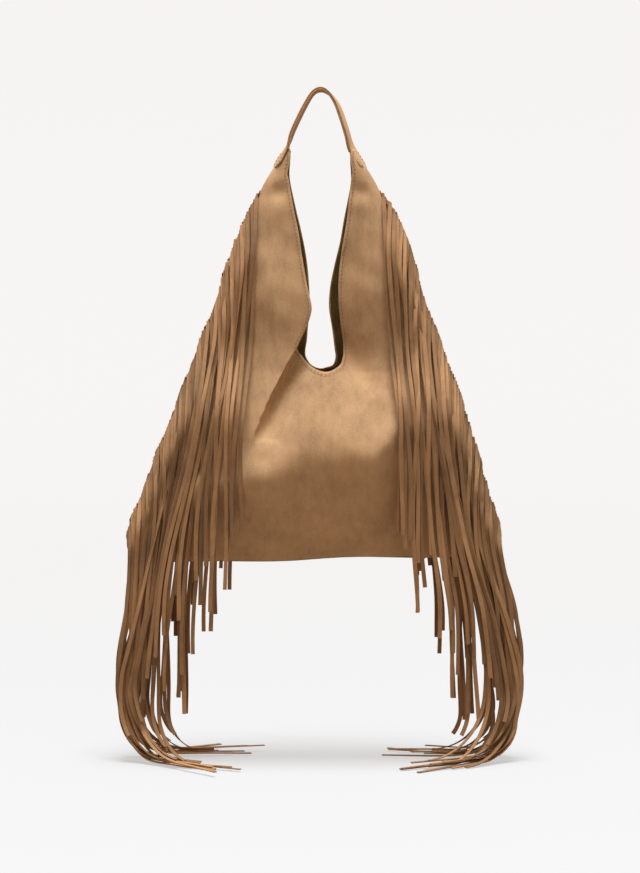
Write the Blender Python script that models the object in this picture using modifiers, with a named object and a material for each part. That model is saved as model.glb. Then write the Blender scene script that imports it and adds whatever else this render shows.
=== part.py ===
"""Fringed suede hobo bag, hanging from the crown of its shoulder strap.

Two A-shaped suede panels are sewn to each other down both slanted sides and along the bottom, and
each is lined. A long cut fringe is caught in each side seam. Half of its strands fall in front of
the bag and half behind it, and the lowest ones reach the floor and curl inwards on it. The panels
run up into two necks, and a two-layer strap joins them: the ends of its outer layer are tabs that
lap the outer sides of the necks.

Metres, +Z up. The origin is under the crown of the strap, and the front of the bag faces -Y.
"""
import math

import bmesh
import bpy

MM = 0.001

# Heights, all below the crown of the strap.
NECK_TOP = -66 * MM
FRINGE_TOP = -118 * MM
FRINGE_BOTTOM = -536 * MM
BAG_BOTTOM = -571 * MM
FLOOR = -815 * MM

# Thicknesses and gaps.
SUEDE = 1.4 * MM
LINING = 0.7 * MM
THONG = 1.3 * MM
GAP = 0.3 * MM
SEAM_HALF = THONG / 2 + GAP

# Bag outline and depth by height: half width to the side seam, and how far each panel stands
# out from the mid plane over how wide a rounded side.
SIDE_SLOPE = 0.3876
SIDE_TOP = (-116 * MM, 71 * MM)
CORNER_RADIUS = 36 * MM
NECK_SIDE = ((-66 * MM, 41 * MM), (-88 * MM, 56 * MM), (-116 * MM, 71 * MM), (-130 * MM, 76.4 * MM))
FRONT_DEPTH = (
    (-571 * MM, 2.5 * MM), (-540 * MM, 27 * MM), (-480 * MM, 55 * MM), (-443 * MM, 61 * MM),
    (-400 * MM, 52 * MM), (-342 * MM, 31 * MM), (-240 * MM, 21 * MM), (-116 * MM, 14 * MM),
    (-66 * MM, 11 * MM),
)
BACK_DEPTH = (
    (-571 * MM, 2.5 * MM), (-540 * MM, 23 * MM), (-480 * MM, 45 * MM), (-443 * MM, 48 * MM),
    (-400 * MM, 43 * MM), (-342 * MM, 29 * MM), (-240 * MM, 21 * MM), (-116 * MM, 14 * MM),
    (-66 * MM, 11 * MM),
)
SIDE_ROUND = (
    (-571 * MM, 150 * MM), (-443 * MM, 165 * MM), (-342 * MM, 120 * MM), (-240 * MM, 70 * MM),
    (-116 * MM, 26 * MM), (-66 * MM, 6 * MM),
)
# Opening cut into both panels: half width by height, closed by a round bottom.
NOTCH = (
    (-342 * MM, 0.0), (-337 * MM, 14 * MM), (-326 * MM, 23 * MM), (-308 * MM, 27 * MM),
    (-285 * MM, 21 * MM), (-260 * MM, 18 * MM), (-240 * MM, 19 * MM), (-172 * MM, 29 * MM),
    (-116 * MM, 38 * MM), (-66 * MM, 36 * MM), (-50 * MM, 34 * MM),
)
NOTCH_STEPS = 34
LINING_TOP = -150 * MM
LINING_MARGIN = 22 * MM
LINING_INSET = 3 * MM
PANEL_GRID = (18, 14)
LINING_GRID = (12, 12)

# Fringe: one strip each side, cut into thongs below a header that the side seam holds. A thong
# leaves the header, is clear of the seam after its root drop, and hangs free after its free drop.
CELLS = 92
THONG_WIDTH = 5 * MM
THONG_LENGTH = 427 * MM
HEADER_INSIDE = 8 * MM
HEADER_OUTSIDE = 5.5 * MM
ROOT_DROP = 9 * MM
ROOT_CLEARANCE = 2.2 * MM
ROOT_DEPTH = 8 * MM
FREE_DROP = 17 * MM
ROOT_LENGTH = 16 * MM
HANG_CLEARANCE = 3 * MM
OUTWARD_DRIFT = 20 * MM
DRIFT_DROP = 90 * MM
LYING_HEIGHT = 1.2 * MM
FLOOR_BEND = 8 * MM
SHORTEST_LIE = 12 * MM
FLOOR_HEADING = math.radians(62)

# Strap: half width of its outer face by height, and its section.
STRAP_LINE = (
    (0.0, 4.4 * MM), (6 * MM, 3.2 * MM), (12 * MM, 0.0), (19.5 * MM, -10 * MM), (26 * MM, -24 * MM),
    (34 * MM, -45 * MM), (46 * MM, -66 * MM), (60.5 * MM, -86 * MM), (65 * MM, -94 * MM),
)
STRAP_WIDTH = 22 * MM
STRAP_LAYER = 2.0 * MM
STRAP_STEPS = 30
UNDERSIDE_END = -62 * MM

SUEDE_COLOUR = (0.60, 0.37, 0.19, 1.0)
FRINGE_COLOUR = (0.47, 0.26, 0.13, 1.0)
LINING_COLOUR = (0.10, 0.06, 0.02, 1.0)


def clear_scene():
    """Remove whatever the file holds."""
    for old in list(bpy.data.objects):
        bpy.data.objects.remove(old, do_unlink=True)


def smooth_between(stations, at):
    """Value at a height, on a smooth curve through (height, value) stations."""
    rows = sorted(stations)
    if at <= rows[0][0]:
        return rows[0][1]
    if at >= rows[-1][0]:
        return rows[-1][1]
    slopes = []
    for k in range(len(rows)):
        low = rows[max(k - 1, 0)]
        high = rows[min(k + 1, len(rows) - 1)]
        slopes.append((high[1] - low[1]) / (high[0] - low[0]))
    for k in range(len(rows) - 1):
        (h0, v0), (h1, v1) = rows[k], rows[k + 1]
        if h0 <= at <= h1:
            step = h1 - h0
            t = (at - h0) / step
            return (v0 * (1 + 2 * t) * (1 - t) ** 2 + v1 * t * t * (3 - 2 * t)
                    + slopes[k] * step * t * (1 - t) ** 2 - slopes[k + 1] * step * t * t * (1 - t))
    return rows[-1][1]


def half_width(z):
    """Distance of the side seam from the middle at a height."""
    if z > NECK_SIDE[-1][0]:
        return smooth_between(NECK_SIDE, z)
    width = SIDE_TOP[1] + (SIDE_TOP[0] - z) * SIDE_SLOPE
    into_corner = BAG_BOTTOM + CORNER_RADIUS - z
    if into_corner > 0:
        part = min(into_corner / CORNER_RADIUS, 1.0)
        width -= CORNER_RADIUS * (1 - math.sqrt(1 - part * part))
    return width


def panel_depth(x, z, depths):
    """How far a panel's inner face stands from the mid plane."""
    inward = max(half_width(z) - abs(x), 0.0)
    part = min(inward / smooth_between(SIDE_ROUND, z), 1.0)
    return SEAM_HALF + (smooth_between(depths, z) - SEAM_HALF) * (1 - (1 - part) ** 2)


def material(name, colour, roughness):
    """A plain Principled material."""
    made = bpy.data.materials.new(name)
    made.use_nodes = True
    shader = made.node_tree.nodes["Principled BSDF"]
    shader.inputs["Base Color"].default_value = colour
    shader.inputs["Roughness"].default_value = roughness
    shader.inputs["Metallic"].default_value = 0.0
    return made


def mesh_object(name, points, faces, collection, finish=None):
    """An object from points and faces, put in a collection."""
    mesh = bpy.data.meshes.new(name)
    mesh.from_pydata(points, [], faces)
    mesh.update()
    made = bpy.data.objects.new(name, mesh)
    collection.objects.link(made)
    if finish is not None:
        mesh.materials.append(finish)
    mesh.shade_smooth()
    return made


def thicken(made, thickness, offset, even=True):
    """Give an open surface its thickness."""
    solid = made.modifiers.new("thickness", "SOLIDIFY")
    solid.thickness = thickness
    solid.offset = offset
    solid.use_even_offset = even


def notch_cutter(collection):
    """The opening's outline, run through both panels."""
    right = []
    for k in range(NOTCH_STEPS + 1):
        turn = k / NOTCH_STEPS
        z = NOTCH[0][0] + (NOTCH[-1][0] - NOTCH[0][0]) * turn ** 1.8
        right.append((smooth_between(NOTCH, z), z))
    outline = right + [(-x, z) for x, z in reversed(right[1:])]
    curve = bpy.data.curves.new("notch_outline", "CURVE")
    curve.dimensions = "2D"
    curve.fill_mode = "BOTH"
    curve.extrude = 0.1
    line = curve.splines.new("POLY")
    line.points.add(len(outline) - 1)
    for point, (x, z) in zip(line.points, outline):
        point.co = (x, z, 0, 1)
    line.use_cyclic_u = True
    flat = bpy.data.objects.new("notch_outline", curve)
    collection.objects.link(flat)
    flat.rotation_euler = (math.radians(90), 0, 0)
    bpy.context.view_layer.update()
    seen = flat.evaluated_get(bpy.context.evaluated_depsgraph_get())
    mesh = bpy.data.meshes.new_from_object(seen)
    welded = bmesh.new()
    welded.from_mesh(mesh)
    bmesh.ops.remove_doubles(welded, verts=welded.verts, dist=1e-6)
    bmesh.ops.recalc_face_normals(welded, faces=welded.faces)
    welded.to_mesh(mesh)
    welded.free()
    cutter = bpy.data.objects.new("notch_cutter", mesh)
    cutter.matrix_world = flat.matrix_world
    collection.objects.link(cutter)
    bpy.data.objects.remove(flat, do_unlink=True)
    cutter.hide_render = True
    cutter.display_type = "WIRE"
    return cutter


def panel(name, depths, facing, inset, margin, thickness, shape, collection, finish, cutter):
    """One side of the bag or of its lining: a sheet with the opening cut out of it.

    facing is -1 for the front and +1 for the back, and inset is how far the sheet's outer face
    lies inside the suede's inner face.
    """
    rows, columns = shape
    top = NECK_TOP if margin == 0 else LINING_TOP
    points = []
    for r in range(rows + 1):
        z = BAG_BOTTOM + margin + (top - BAG_BOTTOM - margin) * r / rows
        reach = half_width(z) - margin
        for c in range(columns + 1):
            across = -1 + 2 * c / columns
            x = reach * math.sin(across * math.pi / 2) if r < rows * 0.55 else reach * across
            y = panel_depth(x, z, depths)
            if inset:
                y = max(y - inset, LINING + 2 * GAP)
            points.append((x, facing * y, z))
    faces = []
    for r in range(rows):
        for c in range(columns):
            a = r * (columns + 1) + c
            quad = (a, a + 1, a + columns + 2, a + columns + 1)
            faces.append(quad if facing < 0 else quad[::-1])
    made = mesh_object(name, points, faces, collection, finish)
    thicken(made, thickness, 1.0 if inset == 0 else -1.0)
    cut = made.modifiers.new("opening", "BOOLEAN")
    cut.operation = "DIFFERENCE"
    cut.solver = "EXACT"
    cut.object = cutter
    return made


def thong_path(start, drop_from, facing):
    """Steps of one thong from where it hangs free to its end.

    start is its distance from the middle and from the mid plane there, and drop_from its height.
    Each step is the same three with the heading of its run along the floor, 0 while it hangs.
    """
    x0, depth = start
    depths = FRONT_DEPTH if facing < 0 else BACK_DEPTH
    left, z = THONG_LENGTH - ROOT_LENGTH, drop_from
    walls = [panel_depth(x0 - THONG_WIDTH / 2, z - drop, depths) for drop in (0, 20 * MM, 40 * MM)]
    depth = max([depth] + [wall + SUEDE + HANG_CLEARANCE for wall in walls])
    steps = [(x0, depth, z, 0.0)]
    falls = min(left, z - (FLOOR + LYING_HEIGHT) - FLOOR_BEND)
    pieces = 5 if z - falls < BAG_BOTTOM else 4
    for k in range(1, pieces + 1):
        down = falls * k / pieces
        drift = OUTWARD_DRIFT * (1 - math.exp(-down / DRIFT_DROP))
        x = x0 + drift
        near = [z - down + falls / pieces * part for part in (-1.0, -0.5, 0.0, 0.5, 1.0)]
        walls = [panel_depth(x - THONG_WIDTH / 2, h, depths) for h in near if h > BAG_BOTTOM]
        depth = max([depth] + [wall + SUEDE + HANG_CLEARANCE for wall in walls])
        steps.append((x, depth, z - down, 0.0))
    rest = left - falls
    if rest > SHORTEST_LIE:
        x, depth, low, _ = steps[-1]
        inward, outward = math.cos(FLOOR_HEADING), math.sin(FLOOR_HEADING)
        for run in (FLOOR_BEND + MM, rest * 0.55, rest - 3 * MM):
            steps.append((x - inward * run, depth + outward * run, FLOOR + LYING_HEIGHT, FLOOR_HEADING))
    return steps


def fringe(name, side, collection, finish):
    """One fringe strip: a header along the side seam with thongs cut below it.

    side is -1 for the left and +1 for the right. Thongs go in turn in front of the bag and
    behind it.
    """
    points, faces = [], []

    def add(x, y, z):
        points.append((side * x, y, z))
        return len(points) - 1

    def quad(a, b, c, d):
        faces.append((a, b, c, d) if side > 0 else (d, c, b, a))

    step = (FRINGE_TOP - FRINGE_BOTTOM) / CELLS
    inner, outer = [], []
    for k in range(CELLS + 1):
        z = FRINGE_TOP - step * k
        inner.append(add(half_width(z) - HEADER_INSIDE, 0.0, z))
        outer.append(add(half_width(z) + HEADER_OUTSIDE, 0.0, z))
    for k in range(CELLS):
        quad(inner[k], outer[k], outer[k + 1], inner[k + 1])
    for order, k in enumerate(range(0, CELLS, 2)):
        facing = -1 if order % 2 == 0 else 1
        near, far = points[outer[k]], points[outer[k + 1]]
        x_in, x_out, z = abs(near[0]), abs(far[0]), far[2]
        middle = (x_in + x_out) / 2
        depths = FRONT_DEPTH if facing < 0 else BACK_DEPTH
        wall = panel_depth(middle, z - ROOT_DROP, depths)
        clear = max(wall + SUEDE + ROOT_CLEARANCE, ROOT_DEPTH)
        last = (outer[k], outer[k + 1])
        row = (add(x_in, facing * clear, z - ROOT_DROP), add(x_out, facing * clear, z - ROOT_DROP))
        quad(row[0], row[1], last[1], last[0])
        last = row
        for x, depth, height, heading in thong_path((middle, clear), z - FREE_DROP, facing):
            turned = math.pi / 2 - heading if heading else 0.0
            across = THONG_WIDTH / 2 * math.cos(turned)
            forward = THONG_WIDTH / 2 * math.sin(turned)
            row = (
                add(x - across, facing * (depth - forward), height),
                add(x + across, facing * (depth + forward), height),
            )
            quad(row[0], row[1], last[1], last[0])
            last = row
    made = mesh_object(name, points, faces, collection, finish)
    thicken(made, THONG, 0.0, even=False)
    return made


def strap_points():
    """Outer line of the whole strap from one tab over the crown to the other."""
    half = []
    for k in range(STRAP_STEPS // 2 + 1):
        place = (len(STRAP_LINE) - 1) * k / (STRAP_STEPS // 2)
        numbered = [(i, p[0]) for i, p in enumerate(STRAP_LINE)]
        heights = [(i, p[1]) for i, p in enumerate(STRAP_LINE)]
        half.append((smooth_between(numbered, place), smooth_between(heights, place)))
    return [(-x, z) for x, z in reversed(half)] + half[1:]


def strap_layer(name, inset, lowest, round_ends, collection, finish):
    """One layer of the strap: a strip along the strap's line, with square or round ends."""
    line = [p for p in strap_points() if p[1] > lowest]
    points, faces = [], []
    for k, (x, z) in enumerate(line):
        before, after = line[max(k - 1, 0)], line[min(k + 1, len(line) - 1)]
        run = math.hypot(after[0] - before[0], after[1] - before[1])
        normal = (-(after[1] - before[1]) / run, (after[0] - before[0]) / run)
        from_end = min(k, len(line) - 1 - k)
        narrow = (0.62, 0.9)[from_end] if round_ends and from_end < 2 else 1.0
        for edge in (-1, 0, 1):
            points.append((x - normal[0] * inset, edge * narrow * STRAP_WIDTH / 2, z - normal[1] * inset))
    for k in range(len(line) - 1):
        for e in range(2):
            a = 3 * k + e
            faces.append((a, a + 3, a + 4, a + 1))
    made = mesh_object(name, points, faces, collection, finish)
    thicken(made, STRAP_LAYER, -1.0)
    return made


def main():
    """Build the whole bag."""
    clear_scene()
    bag = bpy.data.collections.new("fringed_suede_bag")
    cutters = bpy.data.collections.new("cutters")
    bpy.context.scene.collection.children.link(bag)
    bpy.context.scene.collection.children.link(cutters)
    suede = material("suede", SUEDE_COLOUR, 0.9)
    thong = material("fringe_suede", FRINGE_COLOUR, 0.9)
    cloth = material("lining", LINING_COLOUR, 0.8)
    cutter = notch_cutter(cutters)
    for word, depths, facing in (("front", FRONT_DEPTH, -1), ("back", BACK_DEPTH, 1)):
        panel(f"{word}_panel", depths, facing, 0, 0, SUEDE, PANEL_GRID, bag, suede, cutter)
        panel(f"{word}_lining", depths, facing, LINING_INSET, LINING_MARGIN, LINING, LINING_GRID,
              bag, cloth, cutter)
    fringe("fringe_left", -1, bag, thong)
    fringe("fringe_right", 1, bag, thong)
    strap_layer("strap_outer", 0, -1.0, True, bag, suede)
    strap_layer("strap_underside", STRAP_LAYER + GAP, UNDERSIDE_END, False, bag, suede)


main()
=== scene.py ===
"""Looks of a fringed suede hobo bag, hung by the crown of its strap.

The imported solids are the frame. Each soft piece is modelled again at full detail in the space its
solid holds: two suede panels with the folds of a hanging bag, their woven lining, the two long cut
fringe strips, the two-layer strap and the thread that sews them.
"""

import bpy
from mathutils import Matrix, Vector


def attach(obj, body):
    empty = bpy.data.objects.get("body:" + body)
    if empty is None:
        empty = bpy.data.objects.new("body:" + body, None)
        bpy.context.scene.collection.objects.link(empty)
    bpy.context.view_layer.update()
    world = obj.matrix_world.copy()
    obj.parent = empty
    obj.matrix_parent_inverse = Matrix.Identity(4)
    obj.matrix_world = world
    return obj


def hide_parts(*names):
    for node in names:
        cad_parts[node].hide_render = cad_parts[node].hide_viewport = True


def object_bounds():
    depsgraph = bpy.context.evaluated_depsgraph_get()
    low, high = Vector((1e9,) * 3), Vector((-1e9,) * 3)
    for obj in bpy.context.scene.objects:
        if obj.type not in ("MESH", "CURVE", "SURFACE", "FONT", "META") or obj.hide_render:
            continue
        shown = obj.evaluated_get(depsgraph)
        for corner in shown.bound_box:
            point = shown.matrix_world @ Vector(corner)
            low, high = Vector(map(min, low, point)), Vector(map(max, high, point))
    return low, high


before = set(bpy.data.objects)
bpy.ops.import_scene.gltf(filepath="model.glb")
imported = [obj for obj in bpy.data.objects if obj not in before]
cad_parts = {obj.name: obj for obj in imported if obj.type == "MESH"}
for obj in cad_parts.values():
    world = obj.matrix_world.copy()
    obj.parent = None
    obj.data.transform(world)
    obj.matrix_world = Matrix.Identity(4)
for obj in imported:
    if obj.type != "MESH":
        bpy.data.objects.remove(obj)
CAD_BOX = [[float(v) for v in corner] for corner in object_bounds()]

import logging
import math
from dataclasses import dataclass, field
from enum import Enum

import bpy
import numpy as np

LOG = logging.getLogger("suede_bag")
MM = 0.001
ROOT_BODY = "root"
PICTURE_HIGH = 873
PICTURE_WIDE = 640
Point = tuple[float, float]


class Side(Enum):
    """Which side seam a fringe strip is sewn into."""

    LEFT = -1
    RIGHT = 1


class Face(Enum):
    """Which face of the bag a panel is."""

    FRONT = -1
    BACK = 1


# ---------------------------------------------------------------------------------------------
# Shared curves
# ---------------------------------------------------------------------------------------------


def smooth_curve(stations: list[Point], at: np.ndarray) -> np.ndarray:
    """Values on a smooth curve through stations.

    Args:
        stations: (place, value) pairs in millimetres, in any order.
        at: places in metres.

    Returns:
        The values there, in metres.
    """
    rows = np.array(sorted(stations), float) * MM
    places, values = rows[:, 0], rows[:, 1]
    slopes = np.gradient(values, places)
    at = np.clip(at, places[0], places[-1])
    k = np.clip(np.searchsorted(places, at) - 1, 0, len(places) - 2)
    step = places[k + 1] - places[k]
    t = (at - places[k]) / step
    return (
        values[k] * (1 + 2 * t) * (1 - t) ** 2
        + values[k + 1] * t * t * (3 - 2 * t)
        + slopes[k] * step * t * (1 - t) ** 2
        - slopes[k + 1] * step * t * t * (1 - t)
    )


def distances(line: np.ndarray) -> np.ndarray:
    """Length run from the first point to each point of a line."""
    return np.concatenate([[0], np.cumsum(np.linalg.norm(np.diff(line, axis=0), axis=1))])


def along(points: np.ndarray, count: int) -> np.ndarray:
    """Points at even steps of length along a smooth line through points.

    Args:
        points: rows of coordinates in metres.
        count: how many points to return.

    Returns:
        count rows of coordinates.
    """
    padded = np.vstack([2 * points[0] - points[1], points, 2 * points[-1] - points[-2]])
    t = np.linspace(0, 1, 12, endpoint=False)[:, None]
    fine = []
    for a, b, c, d in zip(padded, padded[1:], padded[2:], padded[3:]):
        fine.append(
            0.5 * (2 * b + (c - a) * t + (2 * a - 5 * b + 4 * c - d) * t**2 + (3 * b - a - 3 * c + d) * t**3)
        )
    line = np.vstack(fine + [points[-1:]])
    run = distances(line)
    wanted = np.linspace(0, run[-1], count)
    return np.column_stack([np.interp(wanted, run, line[:, k]) for k in range(line.shape[1])])


def cut_to(points: np.ndarray, length: float, count: int) -> np.ndarray:
    """The first stretch of a smooth line, of a given length, in even steps."""
    line = along(points, 400)
    run = distances(line)
    wanted = np.linspace(0, length, count)
    return np.column_stack([np.interp(wanted, run, line[:, k]) for k in range(3)])


def ripple(x: np.ndarray, z: np.ndarray, size: float, seed: int) -> np.ndarray:
    """A smooth random field of about unit height.

    Args:
        x: places across, in metres.
        z: places up, in metres.
        size: the usual width of a wave, in metres.
        seed: which field.

    Returns:
        The field's height at each place.
    """
    rng = np.random.default_rng(seed)
    total = np.zeros_like(x)
    for _ in range(9):
        angle, phase = rng.uniform(0, math.pi), rng.uniform(0, 2 * math.pi)
        wave = 2 * math.pi / (size * rng.uniform(0.7, 1.5))
        total += np.sin(wave * (x * math.cos(angle) + z * math.sin(angle)) + phase)
    return total / 3.0


def rippled(x: np.ndarray, z: np.ndarray, waves: tuple[tuple[float, float, int], ...]) -> np.ndarray:
    """Sum of smooth random fields, each given as height in millimetres, size in metres and seed."""
    return sum(height * MM * ripple(x, z, size, seed) for height, size, seed in waves)


def line_distance(x: np.ndarray, z: np.ndarray, line: list[Point]) -> tuple[np.ndarray, np.ndarray]:
    """Signed distance to an open line, and how far along it the nearest point is.

    Args:
        x: places across, in metres.
        z: places up, in metres.
        line: the line's points in millimetres.

    Returns:
        Distance in metres, positive on the left of the line's direction, and a share from 0 to 1.
    """
    points = np.array(line, float) * MM
    best = np.full(x.shape, 1e9)
    signed, share = np.zeros(x.shape), np.zeros(x.shape)
    for k in range(len(points) - 1):
        a, b = points[k], points[k + 1]
        run = b - a
        t = np.clip(((x - a[0]) * run[0] + (z - a[1]) * run[1]) / (run @ run), 0, 1)
        dx, dz = x - (a[0] + t * run[0]), z - (a[1] + t * run[1])
        away = np.hypot(dx, dz)
        side = np.sign(run[0] * dz - run[1] * dx)
        near = away < best
        best = np.where(near, away, best)
        signed = np.where(near, away * side, signed)
        share = np.where(near, (k + t) / (len(points) - 1), share)
    return signed, share


def smoothstep(low: float, high: float, value: np.ndarray) -> np.ndarray:
    """A soft step from 0 at low to 1 at high."""
    t = np.clip((value - low) / (high - low), 0, 1)
    return t * t * (3 - 2 * t)


def bell(value: np.ndarray, wide: float) -> np.ndarray:
    """A soft hump that is 1 at 0 and has almost gone at twice its width."""
    return np.exp(-((value / wide) ** 2))


# ---------------------------------------------------------------------------------------------
# Materials
# ---------------------------------------------------------------------------------------------


class Socket:
    """A shader value that can be used in Python expressions."""

    def __init__(self, graph: "Graph", socket: bpy.types.NodeSocket) -> None:
        """Wrap one output socket of a graph."""
        self.graph = graph
        self.socket = socket

    def _math(self, operation: str, a: "Socket | float", b: "Socket | float") -> "Socket":
        """One Math node on two values."""
        return self.graph.node("ShaderNodeMath", {"operation": operation}, {0: a, 1: b})

    def __add__(self, other: "Socket | float") -> "Socket":
        """Sum."""
        return self._math("ADD", self, other)

    __radd__ = __add__

    def __sub__(self, other: "Socket | float") -> "Socket":
        """Difference."""
        return self._math("SUBTRACT", self, other)

    def __rsub__(self, other: "Socket | float") -> "Socket":
        """Reflected difference."""
        return self._math("SUBTRACT", other, self)

    def __mul__(self, other: "Socket | float") -> "Socket":
        """Product."""
        return self._math("MULTIPLY", self, other)

    __rmul__ = __mul__

    def __pow__(self, other: float) -> "Socket":
        """Power."""
        return self._math("POWER", self, other)


class Graph:
    """The node graph of one material."""

    def __init__(self, name: str) -> None:
        """Start a material with a Principled shader."""
        self.material = bpy.data.materials.new(name)
        self.material.use_nodes = True
        self.tree = self.material.node_tree
        self.shader = self.tree.nodes["Principled BSDF"]

    def node(self, kind: str, settings: dict[str, object], inputs: dict[int | str, object],
             output: int | str = 0) -> Socket:
        """Add a node.

        Args:
            kind: the node's type.
            settings: its properties, and "stops" for a colour ramp.
            inputs: values or sockets by input name or number.
            output: which output to return.

        Returns:
            The wrapped output socket.
        """
        made = self.tree.nodes.new(kind)
        for key, value in settings.items():
            if key == "stops":
                self._stops(made.color_ramp, value)
            else:
                setattr(made, key, value)
        for key, value in inputs.items():
            self.join(made.inputs[key], value)
        return Socket(self, made.outputs[output])

    @staticmethod
    def _stops(ramp: bpy.types.ColorRamp, stops: list[tuple[float, tuple[float, ...]]]) -> None:
        """Set a colour ramp's stops."""
        while len(ramp.elements) < len(stops):
            ramp.elements.new(0.5)
        for element, (place, colour) in zip(ramp.elements, stops):
            element.position = place
            element.color = (*colour, 1.0)

    def join(self, target: bpy.types.NodeSocket, value: object) -> None:
        """Link a socket to an input, or set the input's value."""
        if isinstance(value, Socket):
            self.tree.links.new(value.socket, target)
        else:
            target.default_value = value

    def place(self) -> Socket:
        """Object coordinates, which are metres here."""
        return self.node("ShaderNodeTexCoord", {}, {}, "Object")

    def noise(self, where: Socket, size: float, detail: float = 3.0, rough: float = 0.55) -> Socket:
        """Noise whose features are about size metres across."""
        inputs = {"Vector": where, "Scale": 1 / size, "Detail": detail, "Roughness": rough}
        return self.node("ShaderNodeTexNoise", {}, inputs)

    def stretched(self, where: Socket, scale: tuple[float, float, float]) -> Socket:
        """Coordinates scaled along each axis."""
        return self.node("ShaderNodeVectorMath", {"operation": "MULTIPLY"}, {0: where, 1: scale})

    def ramp(self, factor: Socket, stops: list[tuple[float, tuple[float, ...]]]) -> Socket:
        """Colour by factor."""
        return self.node("ShaderNodeValToRGB", {"stops": stops}, {"Fac": factor}, "Color")

    def mix(self, factor: "Socket | float", a: object, b: object, blend: str = "MIX") -> Socket:
        """Blend of two colours."""
        settings = {"data_type": "RGBA", "blend_type": blend}
        return self.node("ShaderNodeMix", settings, {0: factor, 6: a, 7: b}, 2)

    def bump(self, height: Socket, distance: float, strength: float, normal: Socket | None = None) -> Socket:
        """A bumped normal."""
        inputs: dict[int | str, object] = {"Height": height, "Distance": distance, "Strength": strength}
        if normal is not None:
            inputs["Normal"] = normal
        return self.node("ShaderNodeBump", {}, inputs)


def tint(colour: tuple[float, float, float], factor: float) -> tuple[float, float, float]:
    """A colour made lighter or darker."""
    return tuple(min(1.0, part * factor) for part in colour)


@dataclass(frozen=True)
class Suede:
    """Split leather with a short brushed nap.

    contrast and nap scale the spread of colour and the relief, and varied is how much darker the
    darkest thong is than the lightest.
    """

    name: str
    colour: tuple[float, float, float]
    contrast: float = 1.0
    nap: float = 1.0
    varied: float = 0.0

    def build(self) -> bpy.types.Material:
        """Make the material.

        Returns:
            Nap brushed light and dark in patches, over a fine fibrous grain.
        """
        g = Graph(self.name)
        where = g.place()
        patches = g.noise(where, 0.075, 3.0, 0.6)
        brushed = g.noise(g.stretched(where, (1.0, 1.0, 0.35)), 0.010, 4.0, 0.65)
        mottle = g.noise(where, 0.0022, 3.0, 0.7)
        fibre = g.noise(g.stretched(where, (1.0, 1.0, 0.45)), 0.0006, 2.0, 0.7)
        tone = patches * 0.42 + brushed * 0.30 + mottle * 0.20 + fibre * 0.08
        spread = 0.30 * self.contrast
        base = g.ramp(tone, [
            (0.36, tint(self.colour, 1 - spread)),
            (0.50, self.colour),
            (0.64, tint(self.colour, 1 + spread * 0.75)),
        ])
        if self.varied:
            shade = g.node("ShaderNodeAttribute", {"attribute_name": "thong_shade"}, {}, "Fac")
            dark, light = tint((1, 1, 1), 1 - self.varied), (1.0, 1.0, 1.0)
            base = g.mix(1.0, base, g.ramp(shade, [(0.0, dark), (1.0, light)]), "MULTIPLY")
        g.join(g.shader.inputs["Base Color"], base)
        g.join(g.shader.inputs["Roughness"], 0.86 + 0.12 * mottle)
        g.shader.inputs["Specular IOR Level"].default_value = 0.18
        g.shader.inputs["Sheen Weight"].default_value = 0.10
        g.shader.inputs["Sheen Roughness"].default_value = 0.45
        g.shader.inputs["Sheen Tint"].default_value = (*tint(self.colour, 1.8), 1.0)
        soft = g.bump(brushed, 0.0012, 0.35 * self.nap)
        g.join(g.shader.inputs["Normal"], g.bump(mottle * 0.6 + fibre * 0.4, 0.0006, 0.5 * self.nap, soft))
        return g.material


@dataclass(frozen=True)
class Weave:
    """A plain woven lining cloth."""

    name: str
    colour: tuple[float, float, float]
    thread: float = 0.0011

    def build(self) -> bpy.types.Material:
        """Make the material: over and under threads with a flecked colour."""
        g = Graph(self.name)
        where = g.place()
        turn = 2 * math.pi / self.thread
        parts = g.node("ShaderNodeSeparateXYZ", {}, {"Vector": where}, "X")
        split = parts.socket.node
        across = g.node("ShaderNodeMath", {"operation": "SINE"}, {0: parts * turn})
        upright = g.node("ShaderNodeMath", {"operation": "SINE"}, {0: Socket(g, split.outputs["Z"]) * turn})
        weave = across * upright * 0.5 + 0.5
        flecks = g.noise(where, 0.0009, 2.0, 0.6)
        tone = weave * 0.35 + flecks * 0.65
        base = g.ramp(tone, [
            (0.30, tint(self.colour, 0.55)), (0.5, self.colour), (0.72, tint(self.colour, 2.1)),
        ])
        g.join(g.shader.inputs["Base Color"], base)
        g.join(g.shader.inputs["Roughness"], 0.75 + 0.15 * flecks)
        g.shader.inputs["Specular IOR Level"].default_value = 0.1
        g.join(g.shader.inputs["Normal"], g.bump(weave, 0.0004, 0.6))
        return g.material


@dataclass(frozen=True)
class Thread:
    """Twisted sewing thread."""

    name: str
    colour: tuple[float, float, float]

    def build(self) -> bpy.types.Material:
        """Make the material: a slightly glossy thread with a fine uneven twist."""
        g = Graph(self.name)
        twist = g.noise(g.place(), 0.0005, 2.0)
        g.join(g.shader.inputs["Base Color"], g.ramp(twist, [
            (0.35, tint(self.colour, 0.7)), (0.65, tint(self.colour, 1.25)),
        ]))
        g.join(g.shader.inputs["Roughness"], 0.55 + 0.2 * twist)
        g.join(g.shader.inputs["Normal"], g.bump(twist, 0.0002, 0.5))
        return g.material


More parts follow.
